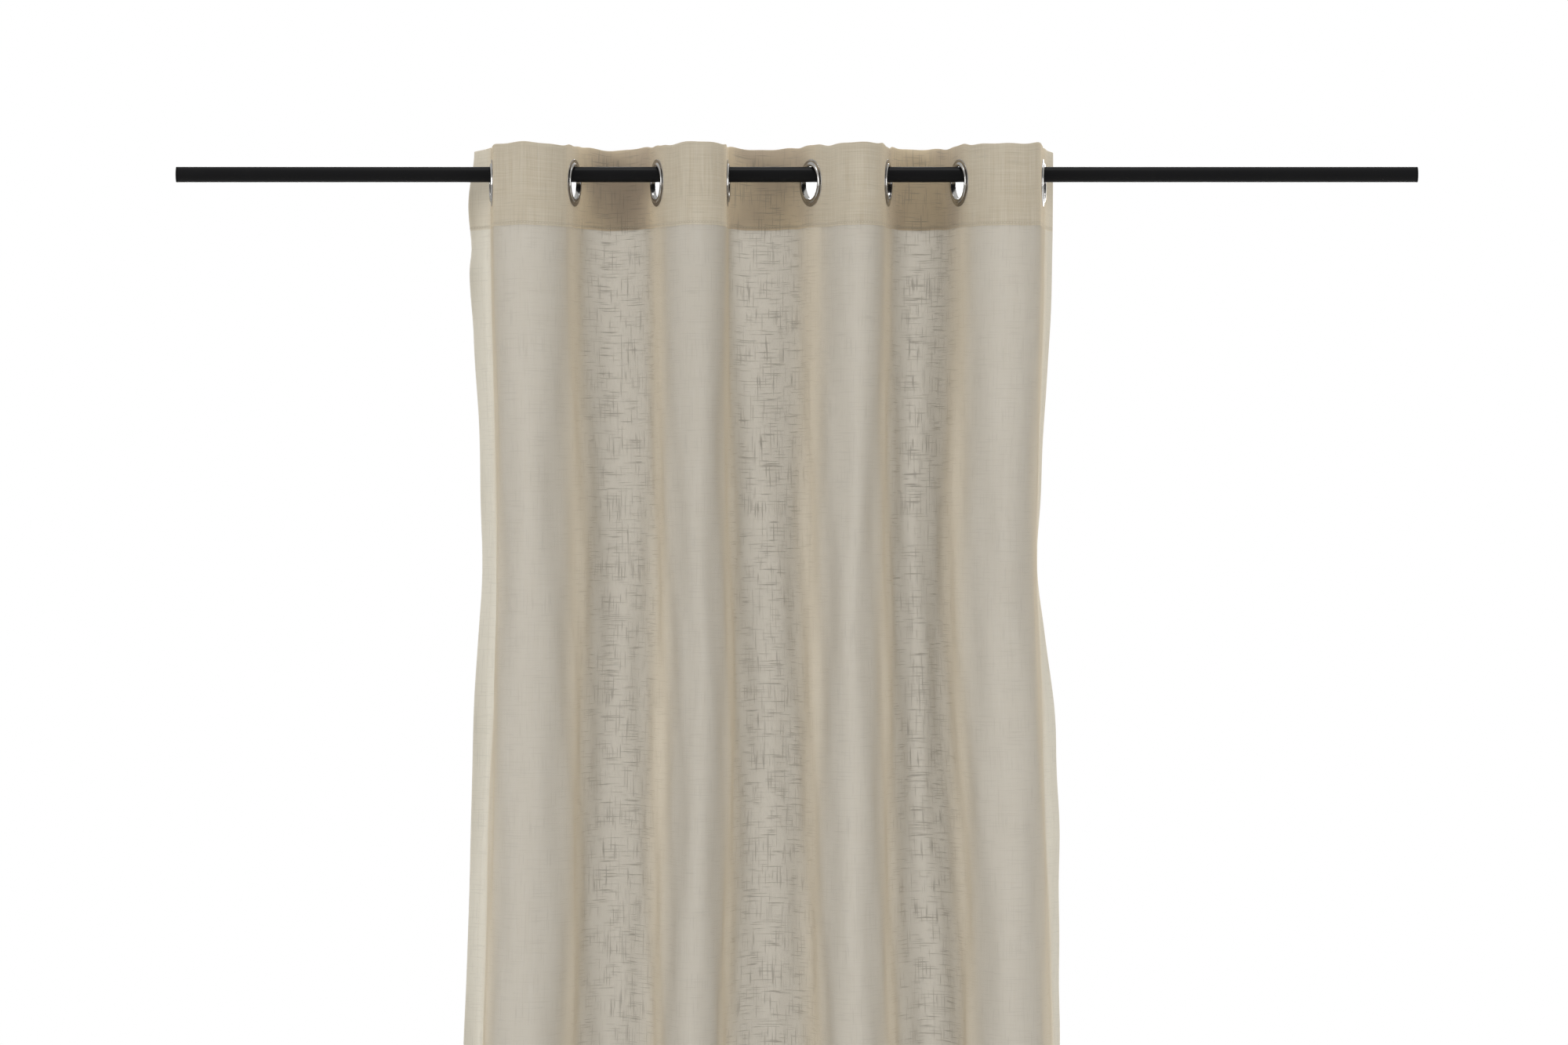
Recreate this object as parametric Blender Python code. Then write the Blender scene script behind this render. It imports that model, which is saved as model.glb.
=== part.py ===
"""An eyelet curtain panel hanging on a round rod.

Metres. X runs along the rod, -Y faces the room, +Z is up.
The origin is on the rod's axis, at the middle of its length.
"""

import math

import bmesh
import bpy
from mathutils import Matrix, Vector

# Rod
ROD_LENGTH = 1.520
ROD_DIAMETER = 0.019
ROD_WALL = 0.0009
ROD_SEGMENTS = 40
CAP_FLANGE = 0.0020
CAP_PLUG = 0.0140

# Clearances
FIT_GAP = 0.0003  # between pieces that touch
SEAM_GAP = 0.0005  # between two neighbouring strips of the cloth
HOLE_GAP = 0.0004  # between an eyelet's barrel and the cloth round it

# Cloth, flat
CLOTH_WIDTH = 1.400
CLOTH_DROP = 2.400
CLOTH_THICKNESS = 0.0008
EDGE_MARGIN = 0.070  # from the side edge to the middle of the first eyelet
HEADING_DEPTH = 0.100
TAPE_THICKNESS = 0.0006
TAPE_MARGIN = 0.0020  # the tape ends this far inside the heading
TOP_ABOVE_EYELET = 0.045  # from the middle of an eyelet to the top edge

# Cloth, hung
PANEL_MIDDLE_X = -0.036
GAP_SHARES = (0.5556, 0.5667, 0.4750, 0.5722, 0.5194, 0.4889, 0.5667)  # of the cloth between two eyelets
EYELET_LEANS = (5.5, 14.5, 17.5, 2.0, 27.0, 9.5, 21.0, 6.5)  # degrees off square to the rod
EDGE_TURNS = (90.0, 35.0)  # how far the left and the right edge curl, in degrees
WAIST_DROP = 0.550  # the panel is narrowest this far below its top edge
WAIST_SPREAD = 0.970
HEM_OPENING = 0.5757  # the hem opens by this share of the tightest fold's slack
HEM_POWER = 1.1
LEAST_FOLD_DEPTH = 0.006
DEPTH_STEPS = 40  # halvings in the search for a fold's depth
FOLD_SEGMENTS = 10
EDGE_SEGMENTS = 5
UPPER_BANDS = 2
LOWER_BANDS = 4

# Eyelets
EYELET_HOLE = 0.040
EYELET_OUTSIDE = 0.058
BARREL_WALL = 0.0008
LIP_HEIGHT = 0.0024  # the rolled lip stands this far off the cloth
LIP_WIDTH = 0.0040
FLANGE_EDGE = 0.0006
FLANGE_ROOT = 0.0010
BACK_EDGE = 0.0009
BACK_CROWN = 0.0014
BACK_INSET = 0.0005  # the back ring is this much smaller in radius
EYELET_SEGMENTS = 28

FABRIC_COLOR = (0.60, 0.53, 0.43, 1.0)
TAPE_COLOR = (0.66, 0.60, 0.50, 1.0)
CHROME_COLOR = (0.78, 0.78, 0.80, 1.0)
BLACK_COLOR = (0.012, 0.012, 0.013, 1.0)
PLASTIC_COLOR = (0.020, 0.020, 0.021, 1.0)

SHARP_ANGLE = 40  # degrees
STRIP_CLEARANCE = 0.002  # a strip's straight part passes the eyelet's rim by this much
CUTTER_DEPTH = 0.020
# The rolled lip's outline: how far out and how far below its top, in shares of its width
LIP_OUTLINE = ((0.0, 0.28), (0.22, 0.05), (0.55, 0.0), (0.88, 0.14))

EYELET_COUNT = len(GAP_SHARES) + 1
EYELET_PITCH = (CLOTH_WIDTH - 2 * EDGE_MARGIN) / (EYELET_COUNT - 1)
EYELET_GAPS = [share * EYELET_PITCH for share in GAP_SHARES]
STRIP_REACH = EYELET_OUTSIDE / 2 + STRIP_CLEARANCE  # a strip is straight this far each side of the rod
EYELET_Z = ROD_DIAMETER / 2 + FIT_GAP - EYELET_HOLE / 2  # the eyelet rests on the rod
CLOTH_TOP = EYELET_Z + TOP_ABOVE_EYELET
TAPE_OFFSET = -(CLOTH_THICKNESS / 2 + FIT_GAP + TAPE_THICKNESS / 2)
BARREL_RADIUS = EYELET_HOLE / 2 + BARREL_WALL


def clear_scene():
    for obj in list(bpy.data.objects):
        bpy.data.objects.remove(obj, do_unlink=True)


def material(name, color, roughness, metallic=0.0):
    mat = bpy.data.materials.new(name)
    mat.use_nodes = True
    shader = mat.node_tree.nodes["Principled BSDF"]
    shader.inputs["Base Color"].default_value = color
    shader.inputs["Roughness"].default_value = roughness
    shader.inputs["Metallic"].default_value = metallic
    mat.diffuse_color = color
    return mat


def add_object(name, bm, mat, parent=None):
    """The bmesh as a named object with outward faces, round sides smooth."""
    bmesh.ops.recalc_face_normals(bm, faces=bm.faces)
    mesh = bpy.data.meshes.new(name)
    bm.to_mesh(mesh)
    bm.free()
    mesh.materials.append(mat)
    mesh.shade_smooth()
    mesh.set_sharp_from_angle(angle=math.radians(SHARP_ANGLE))
    obj = bpy.data.objects.new(name, mesh)
    bpy.context.scene.collection.objects.link(obj)
    obj.parent = parent
    return obj


def turned(name, profile, segments, mat, parent=None):
    """A ring: the closed profile of (radius, height) points spun about Z."""
    bm = bmesh.new()
    verts = [bm.verts.new((r, 0, h)) for r, h in profile]
    edges = [bm.edges.new((a, b)) for a, b in zip(verts, verts[1:] + verts[:1])]
    bmesh.ops.spin(
        bm, geom=verts + edges, cent=(0, 0, 0), axis=(0, 0, 1), dvec=(0, 0, 0),
        angle=2 * math.pi, steps=segments, use_merge=True, use_duplicate=False,
    )
    return add_object(name, bm, mat, parent)


def rod_tube(mat):
    outer = ROD_DIAMETER / 2
    inner = outer - ROD_WALL
    half = ROD_LENGTH / 2 - CAP_FLANGE - FIT_GAP
    profile = [(inner, -half), (inner, half), (outer, half), (outer, -half)]
    tube = turned("rod_tube", profile, ROD_SEGMENTS, mat)
    tube.rotation_euler = (0, math.radians(90), 0)


def rod_end_cap(name, side, mat):
    """A flush push-in plug: a flange as wide as the rod, and a plug inside its bore."""
    bm = bmesh.new()
    bmesh.ops.create_circle(bm, cap_ends=True, radius=ROD_DIAMETER / 2, segments=ROD_SEGMENTS)
    flange = bmesh.ops.extrude_face_region(bm, geom=list(bm.faces))["geom"]
    raised = [v for v in flange if isinstance(v, bmesh.types.BMVert)]
    bmesh.ops.translate(bm, verts=raised, vec=(0, 0, CAP_FLANGE))
    inner_face = next(f for f in flange if isinstance(f, bmesh.types.BMFace))
    bmesh.ops.inset_individual(bm, faces=[inner_face], thickness=ROD_WALL + FIT_GAP, depth=0)
    plug = bmesh.ops.extrude_discrete_faces(bm, faces=[inner_face])["faces"]
    bmesh.ops.translate(bm, verts=list(plug[0].verts), vec=(0, 0, CAP_PLUG))
    cap = add_object(name, bm, mat)
    cap.location = (side * ROD_LENGTH / 2, 0, 0)
    cap.rotation_euler = (0, math.radians(-90 * side), 0)


def eyelet_x(k):
    return PANEL_MIDDLE_X - sum(EYELET_GAPS) / 2 + sum(EYELET_GAPS[:k])


def goes_forward(k):
    """Even strips run from behind the rod at their left to in front of it at their right."""
    return k % 2 == 0


def eyelet_normal(k):
    """The way the cloth's face points at an eyelet."""
    lean = math.radians(EYELET_LEANS[k])
    return Vector((-math.cos(lean) if goes_forward(k) else math.cos(lean), -math.sin(lean), 0))


def fold_cloth(k):
    """The length of cloth in the fold between strip k and the next one."""
    return EYELET_PITCH - sum(STRIP_REACH / math.cos(math.radians(EYELET_LEANS[n])) for n in (k, k + 1))


def hem_spread():
    """The hem's width as a share of the heading's, from the slack of the fold that has least."""
    slack = []
    for k in range(EYELET_COUNT - 1):
        reach = -STRIP_REACH if goes_forward(k) else STRIP_REACH
        slack.append(fold_cloth(k) / (strip_x(k + 1, reach, 0) - strip_x(k, reach, 0)) - 1)
    return 1 + HEM_OPENING * min(slack)


def spread(drop):
    """The panel's width at a distance below its top edge, as a share of the heading's."""
    if drop <= HEADING_DEPTH:
        return 1.0
    if drop <= WAIST_DROP:
        ease = (1 - math.cos(math.pi * (drop - HEADING_DEPTH) / (WAIST_DROP - HEADING_DEPTH))) / 2
        return 1 + (WAIST_SPREAD - 1) * ease
    below = (drop - WAIST_DROP) / (CLOTH_DROP - WAIST_DROP)
    return WAIST_SPREAD + (hem_spread() - WAIST_SPREAD) * below**HEM_POWER


def strip_x(k, y, offset):
    """Where strip k's line is at depth y, moved by offset towards the cloth's face."""
    lean = math.radians(EYELET_LEANS[k])
    side = -1 if goes_forward(k) else 1
    return eyelet_x(k) + side * (y * math.tan(lean) + offset / math.cos(lean))


def half_ellipse(a, b):
    return math.pi / 2 * (3 * (a + b) - math.sqrt((3 * a + b) * (a + 3 * b)))


def fold_depth(half_width, length):
    """How deep a fold is, so that the cloth over it has its flat length."""
    low, high = LEAST_FOLD_DEPTH, length
    for _ in range(DEPTH_STEPS):
        middle = (low + high) / 2
        low, high = (middle, high) if half_ellipse(half_width, middle) < length else (low, middle)
    return low


def cloth_drops():
    """The heights of the cloth's rows, as distances below its top edge."""
    upper, lower = WAIST_DROP - HEADING_DEPTH, CLOTH_DROP - WAIST_DROP
    drops = [0.0]
    drops += [HEADING_DEPTH + upper * i / UPPER_BANDS for i in range(UPPER_BANDS + 1)]
    drops += [WAIST_DROP + lower * (i + 1) / LOWER_BANDS for i in range(LOWER_BANDS)]
    return drops


def widened(x, drop):
    return PANEL_MIDDLE_X + (x - PANEL_MIDDLE_X) * spread(drop)


def strip_line(k, drop, offset):
    return [(widened(strip_x(k, y, offset), drop), y) for y in (-STRIP_REACH, 0, STRIP_REACH)]


def fold_line(k, drop, offset):
    """A half ellipse from strip k to the next one, in front of the rod or behind it."""
    way = -1 if goes_forward(k) else 1
    reach = way * STRIP_REACH
    left, right = (widened(strip_x(n, reach, offset), drop) for n in (k, k + 1))
    centre_left, centre_right = (widened(strip_x(n, reach, 0), drop) for n in (k, k + 1))
    depth = fold_depth((centre_right - centre_left) / 2, fold_cloth(k)) - way * offset
    points = []
    for i in range(FOLD_SEGMENTS + 1):
        turn = math.pi * i / FOLD_SEGMENTS
        x = (left + right) / 2 - (right - left) / 2 * math.cos(turn)
        points.append((x, way * (STRIP_REACH + SEAM_GAP + depth * math.sin(turn))))
    return points


def edge_line(k, drop, offset):
    """The curl from an outer strip to the panel's side edge, behind the rod."""
    side, turn = (-1, EDGE_TURNS[0]) if k == 0 else (1, EDGE_TURNS[1])
    length = EDGE_MARGIN - STRIP_REACH / math.cos(math.radians(EYELET_LEANS[k]))
    radius = length / math.radians(turn)
    start = strip_x(k, STRIP_REACH, 0)
    points = []
    for i in range(EDGE_SEGMENTS + 1):
        angle = math.radians(turn) * i / EDGE_SEGMENTS
        x = start + side * (radius * (1 - math.cos(angle)) + offset * math.cos(angle))
        y = STRIP_REACH + SEAM_GAP + (radius - offset) * math.sin(angle)
        points.append((widened(x, drop), y))
    return points


def sheet(name, line, k, drops, offset, thickness, mat, parent):
    """A strip of cloth: one line of points for each height, given its thickness both ways."""
    bm = bmesh.new()
    rows = []
    for drop in drops:
        rows.append([bm.verts.new((x - eyelet_x(parent["eyelet"]), y, CLOTH_TOP - drop))
                     for x, y in line(k, drop, offset)])
    for above, below in zip(rows, rows[1:]):
        for i in range(len(above) - 1):
            bm.faces.new((above[i], above[i + 1], below[i + 1], below[i]))
    obj = add_object(name, bm, mat, parent)
    solid = obj.modifiers.new("thickness", "SOLIDIFY")
    solid.thickness = thickness
    solid.offset = 0
    solid.use_even_offset = True
    return obj


def eyelet_matrix(k):
    """Local Z along the cloth's normal and local X up, at the middle of the eyelet."""
    normal, up = eyelet_normal(k), Vector((0, 0, 1))
    turn = Matrix((up, normal.cross(up), normal)).transposed().to_4x4()
    return Matrix.Translation((0, 0, EYELET_Z)) @ turn


def eyelet_front(k, mat, parent):
    """The face ring, its rolled lip and the barrel that goes through the cloth."""
    bore, rim = EYELET_HOLE / 2, EYELET_OUTSIDE / 2
    under = CLOTH_THICKNESS / 2 + FIT_GAP
    end = -(CLOTH_THICKNESS / 2 + FIT_GAP + TAPE_THICKNESS + FIT_GAP + BACK_CROWN)
    lip = under + LIP_HEIGHT
    profile = [(bore, end)]
    profile += [(bore + LIP_WIDTH * out, lip - LIP_WIDTH * fall) for out, fall in LIP_OUTLINE]
    profile += [
        (bore + LIP_WIDTH, under + FLANGE_ROOT), (rim - FLANGE_EDGE / 2, under + FLANGE_EDGE),
        (rim, under), (BARREL_RADIUS, under), (BARREL_RADIUS, end),
    ]
    ring = turned(f"eyelet_front_{k + 1}", profile, EYELET_SEGMENTS, mat, parent)
    ring.matrix_local = eyelet_matrix(k)


def eyelet_back(k, mat, parent):
    """The ring that the barrel is set into, behind the heading tape."""
    bore, rim = BARREL_RADIUS + FIT_GAP, EYELET_OUTSIDE / 2 - BACK_INSET
    face = -(CLOTH_THICKNESS / 2 + FIT_GAP + TAPE_THICKNESS + FIT_GAP)
    profile = [
        (bore, face), (rim, face), (rim - BACK_EDGE / 3, face - BACK_EDGE),
        ((bore + rim) / 2, face - BACK_CROWN), (bore, face - BACK_CROWN),
    ]
    ring = turned(f"eyelet_back_{k + 1}", profile, EYELET_SEGMENTS, mat, parent)
    ring.matrix_local = eyelet_matrix(k)


def eyelet_cutter(k, parent):
    bm = bmesh.new()
    radius = BARREL_RADIUS + HOLE_GAP
    bmesh.ops.create_cone(
        bm, cap_ends=True, segments=EYELET_SEGMENTS, radius1=radius, radius2=radius, depth=CUTTER_DEPTH,
    )
    mesh = bpy.data.meshes.new(f"cutter_{k + 1}")
    bm.to_mesh(mesh)
    bm.free()
    cutter = bpy.data.objects.new(mesh.name, mesh)
    bpy.context.scene.collection.objects.link(cutter)
    cutter.parent = parent
    cutter.matrix_local = eyelet_matrix(k)
    cutter.hide_render = True
    cutter.display_type = "WIRE"
    return cutter


def punch(obj, cutter):
    hole = obj.modifiers.new("eyelet hole", "BOOLEAN")
    hole.operation = "DIFFERENCE"
    hole.solver = "EXACT"
    hole.object = cutter


def eyelet_slide(k):
    """The empty that an eyelet and its cloth slide with, on the rod's axis."""
    slide = bpy.data.objects.new(f"slide_{k + 1}", None)
    slide.location = (eyelet_x(k), 0, 0)
    slide["eyelet"] = k
    bpy.context.scene.collection.objects.link(slide)
    return slide


def cloth_of(k, slide, cutter, fabric, tape):
    """The cloth and the heading tape that travel with one eyelet."""
    number = k + 1
    drops = cloth_drops()
    tape_drops = [TAPE_MARGIN, HEADING_DEPTH - TAPE_MARGIN]
    layers = (
        ("cloth", drops, 0.0, CLOTH_THICKNESS, fabric),
        ("heading_tape", tape_drops, TAPE_OFFSET, TAPE_THICKNESS, tape),
    )
    for layer, heights, offset, thickness, mat in layers:
        strip = sheet(f"{layer}_strip_{number}", strip_line, k, heights, offset, thickness, mat, slide)
        punch(strip, cutter)
        if number < EYELET_COUNT:
            sheet(f"{layer}_fold_{number}", fold_line, k, heights, offset, thickness, mat, slide)
        if k == 0:
            sheet(f"{layer}_edge_left", edge_line, k, heights, offset, thickness, mat, slide)
        if number == EYELET_COUNT:
            sheet(f"{layer}_edge_right", edge_line, k, heights, offset, thickness, mat, slide)


def build():
    clear_scene()
    black = material("black_powder_coat", BLACK_COLOR, 0.35)
    plastic = material("black_plastic", PLASTIC_COLOR, 0.5)
    chrome = material("chrome", CHROME_COLOR, 0.12, 1.0)
    fabric = material("linen_fabric", FABRIC_COLOR, 0.9)
    tape = material("heading_tape", TAPE_COLOR, 0.9)
    rod_tube(black)
    rod_end_cap("rod_end_cap_left", -1, plastic)
    rod_end_cap("rod_end_cap_right", 1, plastic)
    for k in range(EYELET_COUNT):
        slide = eyelet_slide(k)
        cutter = eyelet_cutter(k, slide)
        eyelet_front(k, chrome, slide)
        eyelet_back(k, chrome, slide)
        cloth_of(k, slide, cutter, fabric, tape)


build()
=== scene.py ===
import math
import random

import bmesh
import bpy
import numpy
from mathutils import Matrix, Vector


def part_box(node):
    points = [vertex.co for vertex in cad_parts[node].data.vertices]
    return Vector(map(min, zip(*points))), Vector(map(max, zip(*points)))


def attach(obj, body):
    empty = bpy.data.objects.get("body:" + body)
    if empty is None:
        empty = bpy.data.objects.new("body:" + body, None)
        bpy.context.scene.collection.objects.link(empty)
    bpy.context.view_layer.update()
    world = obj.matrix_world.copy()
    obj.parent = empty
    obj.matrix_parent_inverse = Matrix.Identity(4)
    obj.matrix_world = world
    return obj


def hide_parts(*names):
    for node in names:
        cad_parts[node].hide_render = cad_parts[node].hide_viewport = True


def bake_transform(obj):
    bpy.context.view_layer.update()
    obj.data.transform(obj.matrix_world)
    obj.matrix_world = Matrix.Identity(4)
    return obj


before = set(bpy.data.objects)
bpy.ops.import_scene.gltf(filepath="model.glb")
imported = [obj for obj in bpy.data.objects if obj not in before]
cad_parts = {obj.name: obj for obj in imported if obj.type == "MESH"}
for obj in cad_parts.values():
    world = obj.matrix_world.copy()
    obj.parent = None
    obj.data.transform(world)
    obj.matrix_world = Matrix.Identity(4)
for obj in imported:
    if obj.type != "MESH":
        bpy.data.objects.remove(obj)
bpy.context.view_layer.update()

# the camera, the floor, the backdrop and the lights
studio = {
    "cameraPlace": (-0.0158, -7.0, -0.426),
    "lens": 131.25,
    "sensor": 36.0,
    "floorDrop": 0.035,  # the hem hangs this far above the floor
    "floorReach": 8.0,  # the floor's radius
    "floorFade": 2.5,  # from here outwards it fades into the backdrop
    "floorDark": (0.62, 0.615, 0.605, 1.0),
    "floorLight": (0.66, 0.655, 0.645, 1.0),
    "floorRoughness": 0.8,
    "floorGlow": 0.1,
    "backdrop": (1.0, 1.0, 1.0, 1.0),
    "skyLight": (0.80, 0.80, 0.79, 1.0),
    "roomLight": (0.66, 0.65, 0.63, 1.0),
    # name, place, what it points at, size, watts
    "lights": [
        ("leftLight", (-3.9, -3.0, 0.6), (0.0, 0.0, -0.8), 3.0, 120.0),
        ("rightLight", (3.9, -3.0, 0.2), (0.0, 0.0, -0.9), 3.0, 100.0),
        ("topLight", (0.0, -0.3, 2.6), (0.0, 0.0, 0.0), 1.2, 20.0),
        ("backLight", (0.2, 3.4, -0.2), (0.0, 0.0, -0.9), 3.6, 138.0),
    ],
}

# the curtain as it is cut and as it hangs, in metres and degrees
curtain = {
    "eyeletX": [-0.373, -0.273, -0.171, -0.0855, 0.0175, 0.111, 0.199, 0.301],
    "leans": [5.5, 14.5, 17.5, 2.0, 27.0, 9.5, 21.0, 6.5],  # degrees off square to the rod
    "pitch": 0.180,  # of cloth from eyelet to eyelet
    "sideMargin": 0.070,
    "drop": 2.400,
    "heading": 0.100,
    "eyeletDrop": 0.045,  # from the top edge down to an eyelet's middle
    "stiffReach": 0.031,  # the cloth is held flat this far from an eyelet's middle
    "looseReach": 0.009,
    "reachDrop": 0.45,  # by this drop the cloth is loose at its crossings
    "looseLean": 19.0,
    "looseStart": 0.01,  # below the heading
    "looseDrop": 0.70,
    "looseShare": 0.55,  # of the way from an eyelet's own lean to the loose one
    "strayX": 0.0045,
    "strayY": 0.005,
    "strayLean": 4.5,
    "handleLimits": (0.002, 0.200),  # of a fold's curve
    # how far the left and the right edge curl, in degrees, at a drop
    "leftTurns": [(0.0, 68), (0.07, 108), (0.122, 84), (0.152, 102), (0.23, 80), (0.34, 66), (0.52, 62),
                  (0.72, 90), (1.2, 80), (1.8, 94), (2.4, 78)],
    "rightTurns": [(0.0, 30), (0.16, 27), (0.34, 15), (0.52, 13), (0.74, 40), (1.2, 30), (1.8, 46),
                   (2.4, 36)],
    "leastTurn": 3,
    "waistDrop": 0.550,
    "waistSpread": 0.970,
    "hemSpread": 1.180,
    "hemPower": 1.1,
    "thickness": 0.00045,
    "headingTurn": 0.100,  # cloth turned over the tape
    "hemTurn": 0.080,
    "sideTurn": 0.018,
    "fineStep": 0.004,
    "rowStep": 0.010,
    "roundStep": 0.0005,  # of cloth, from row to row round a turned edge
    "foldClear": 0.003,  # from the top edge to the first level row
    "edgeClear": 0.002,  # the same at the side edges and at the hem
    "seamPast": 0.012,
    "layersEnd": 0.16,  # by this drop the front layer is back in the middle of the cloth
    "holeRadius": 0.0224,
    "frontOffset": 0.00030,  # layers of the heading, from the middle of the cloth
    "tapeOffset": -0.00045,
    "turnOffset": -0.00120,
    "hemOffset": -0.00085,
    "tapeThickness": 0.00040,
    "tapeMargin": 0.003,
    "tapeShort": 0.003,  # and this much more above the heading's seam
    "seamDrop": 0.0965,
    "pressReach": 0.0035,  # of the seam, which pulls the layers together
    "pressFront": 0.00012,
    "pressBack": 0.00055,
    "holeInside": 0.010,
    "holeSteps": 1.2,  # of fineStep outside the hole, drawn in to its rim
    "blendClear": 0.0015,  # between the slanting band and each eyelet's crossing
    "blendStep": 0.05,
}

eyeletLow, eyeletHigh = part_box("eyelet_front_1")
eyeletZ = (eyeletLow.z + eyeletHigh.z) / 2
clothTop = eyeletZ + curtain["eyeletDrop"]
hemZ = clothTop - curtain["drop"]
eyeletCount = len(curtain["eyeletX"])
clothWidth = 2 * curtain["sideMargin"] + curtain["pitch"] * (eyeletCount - 1)
middleX = (curtain["eyeletX"][0] + curtain["eyeletX"][-1]) / 2

dice = random.Random(41)
wavers = [[(dice.uniform(0, 6.28), dice.uniform(0, 6.28), dice.uniform(0.8, 1.2)) for part in range(3)]
          for k in range(eyeletCount + 2)]

# how the cloth stands off its smooth shape, in metres
uneven = {
    "wavers": [(0.65, 3.9), (0.35, 8.7)],  # height, rate down the drop
    # height, cloth across, cloth down, start
    "ripples": [(0.0013, 0.170, 0.95, 0.4), (0.0010, 0.098, -0.60, 2.1), (0.0007, 0.061, 0.42, 4.0),
                (0.0005, 0.043, -0.31, 5.2)],
    "fromDrop": 0.45,
    # along the heading's seam: height, how far up and down it reaches, and two lengths of cloth
    "pucker": (0.00022, 0.010, 0.0173, 0.11),
    "sideReach": 0.016,
    "sideWaves": [(0.0007, 47, 0), (0.0008, 29, 2)],  # height, rate down the edge, start
    # height, cloth across, start
    "topWaves": [(0.0010, 0.127, 0.6), (0.0008, 0.071, 0.0), (0.0005, 0.039, 2.2)],
    "cornerReach": 0.025,
    "cornerDrop": 0.004,
    "heldShare": 0.6,  # how much less of it by heldDrop, and then none between the two fadeDrops
    "heldDrop": 0.08,
    "fadeDrops": (0.12, 0.5),
}


def easeBetween(low, high, value):
    share = min(max((value - low) / (high - low), 0.0), 1.0)
    return share * share * (3 - 2 * share)


def between(knots, value):  # smooth steps from knot to knot
    for (low, first), (high, second) in zip(knots, knots[1:]):
        if value <= high:
            return first + (second - first) * easeBetween(low, high, value)
    return knots[-1][1]


def waver(k, part, drop):  # slow change down the drop, between about -1 and 1
    first, second, rate = wavers[k][part]
    (slow, slowRate), (quick, quickRate) = uneven["wavers"]
    bend = slow * math.sin(slowRate * rate * drop + first)
    return bend + quick * math.sin(quickRate * rate * drop + second)


def spreadAt(drop):  # the panel's width at a drop, as a share of the heading's
    if drop <= curtain["heading"]:
        return 1.0
    if drop <= curtain["waistDrop"]:
        share = (drop - curtain["heading"]) / (curtain["waistDrop"] - curtain["heading"])
        return 1 + (curtain["waistSpread"] - 1) * (1 - math.cos(math.pi * share)) / 2
    below = (drop - curtain["waistDrop"]) / (curtain["drop"] - curtain["waistDrop"])
    widening = (curtain["hemSpread"] - curtain["waistSpread"]) * below ** curtain["hemPower"]
    return curtain["waistSpread"] + widening


def crossing(k, drop):  # where the cloth passes the rod's plane, and its direction there
    loose = easeBetween(curtain["heading"] + curtain["looseStart"], curtain["looseDrop"], drop)
    x = middleX + (curtain["eyeletX"][k] - middleX) * spreadAt(drop)
    x += curtain["strayX"] * loose * waver(k, 0, drop)
    y = curtain["strayY"] * loose * waver(k, 1, drop)
    lean = curtain["leans"][k]
    if 0 < k < eyeletCount - 1:
        lean += loose * (curtain["looseShare"] * (curtain["looseLean"] - lean)
                         + curtain["strayLean"] * waver(k, 2, drop))
    way = -1 if k % 2 == 0 else 1
    turn = math.radians(lean)
    return numpy.array((x, y)), numpy.array((math.sin(turn), way * math.cos(turn)))


def bezier(ends, share):  # places on a curve and its slopes there
    a, b, c, d = ends
    t = share[:, None]
    place = a * (1 - t) ** 3 + 3 * b * t * (1 - t) ** 2 + 3 * c * t**2 * (1 - t) + d * t**3
    slope = 3 * (b - a) * (1 - t) ** 2 + 6 * (c - b) * t * (1 - t) + 3 * (d - c) * t**2
    return place, slope


foldSamples = numpy.linspace(0, 1, 49)
foldCache = {}


def foldShape(k, drop):  # a fold's curve, with handles as long as its own length of cloth needs
    key = (k, round(drop, 6))
    if key in foldCache:
        return foldCache[key]
    reach = curtain["stiffReach"] + (curtain["looseReach"] - curtain["stiffReach"]) * easeBetween(
        curtain["heading"], curtain["reachDrop"], drop)
    (here, way), (there, nextWay) = crossing(k, drop), crossing(k + 1, drop)
    start, end = here + reach * way, there - reach * nextWay
    target = curtain["pitch"] - 2 * reach
    low, high = curtain["handleLimits"]
    for step in range(22):  # halved until the curve is as long as its cloth
        handle = (low + high) / 2
        ends = (start, start + handle * way, end - handle * nextWay, end)
        place, slope = bezier(ends, foldSamples)
        lengths = numpy.concatenate(([0], numpy.cumsum(numpy.linalg.norm(numpy.diff(place, axis=0), axis=1))))
        low, high = (handle, high) if lengths[-1] < target else (low, handle)
    foldCache[key] = (reach, here, way, there, nextWay, ends, lengths * target / lengths[-1])
    return foldCache[key]


def betweenEyelets(k, drop, along):  # along is measured on the cloth from eyelet k
    reach, here, way, there, nextWay, ends, lengths = foldShape(k, drop)
    place, slope = bezier(ends, numpy.interp(along - reach, lengths, foldSamples))
    near, far = along < reach, along > curtain["pitch"] - reach
    place[near] = here + along[near, None] * way
    slope[near] = way
    place[far] = there - (curtain["pitch"] - along[far, None]) * nextWay
    slope[far] = nextWay
    return place, slope


def beyondEyelet(k, drop, out):  # from an outer eyelet to the side edge
    side = -1 if k == 0 else 1
    turn = between(curtain["leftTurns" if k == 0 else "rightTurns"], drop)
    here, way = crossing(k, drop)
    outward = way * side
    reach = curtain["stiffReach"]
    lean = math.degrees(math.atan2(abs(outward[0]), outward[1]))
    bend = math.radians(max(turn - lean, curtain["leastTurn"]))
    radius = (curtain["sideMargin"] - reach) / bend
    across = numpy.array((side * abs(outward[1]), -side * outward[0]))
    angle = numpy.clip(out - reach, 0, None) / radius
    place = here + numpy.minimum(out, reach)[:, None] * outward + radius * (
        numpy.sin(angle)[:, None] * outward + (1 - numpy.cos(angle))[:, None] * across)
    slope = numpy.cos(angle)[:, None] * outward + numpy.sin(angle)[:, None] * across
    return place, slope * side


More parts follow.
